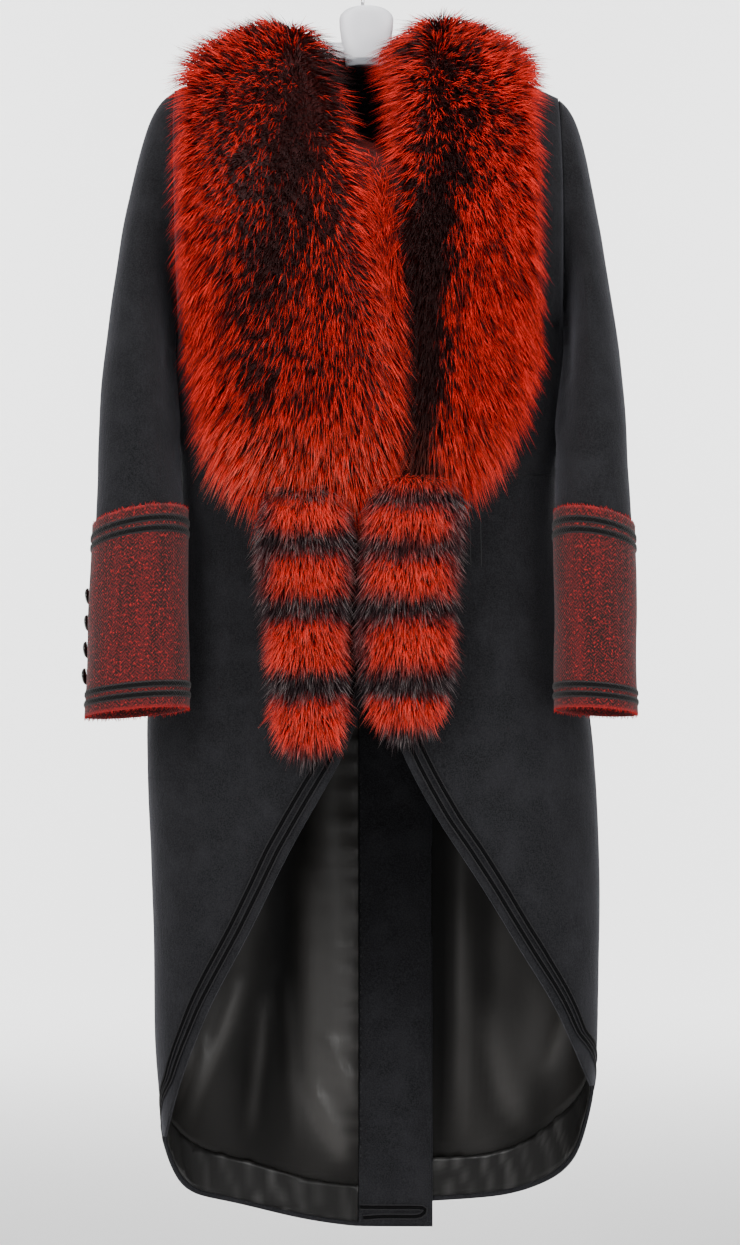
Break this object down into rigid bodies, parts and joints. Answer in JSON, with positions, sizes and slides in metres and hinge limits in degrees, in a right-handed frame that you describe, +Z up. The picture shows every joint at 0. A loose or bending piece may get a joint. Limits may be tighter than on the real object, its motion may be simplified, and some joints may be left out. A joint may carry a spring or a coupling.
{
  "type": "cashmere coat on hanger",
  "caption": "Long cashmere coat with cutaway fronts, a fur shawl collar with hanging tails and tweed cuffs, open at the hem, on a plain hanger with a wire hook.",
  "frame": {"origin": "inside of the hook's top, where it rests on a rail", "axes": "+Z up, -Y towards the coat's front, +X to the right of someone who faces the front"},
  "size_m": [0.5235, 0.2652, 1.2475],
  "materials": {
    "cashmere": "matte felted nap",
    "tweed": "matte woven",
    "satin": "soft satin",
    "velvet": "matte pile",
    "fur": "glossy hair",
    "horn": "polished",
    "plastic": "moulded",
    "steel": "polished"
  },
  "bodies": {
    "root": {"front_left": "cashmere", "front_right": "cashmere", "back_left": "cashmere", "back_right": "cashmere", "sleeve_left": "cashmere", "sleeve_right": "cashmere", "vent_facing": "cashmere", "cuff_left": "tweed", "cuff_right": "tweed", "lining_left": "satin", "lining_right": "satin", "hem_facing_left": "satin", "hem_facing_right": "satin", "ribbon_left": "velvet", "ribbon_right": "velvet", "ribbon_vent": "velvet", "fur_left": "fur", "fur_right": "fur", "tail_left": "fur", "tail_right": "fur", "button_left_1": "horn", "button_left_2": "horn", "button_left_3": "horn", "button_left_4": "horn", "button_right_1": "horn", "button_right_2": "horn", "button_right_3": "horn", "button_right_4": "horn", "hanger": "plastic", "hook": "steel"}
  },
  "joints": []
}
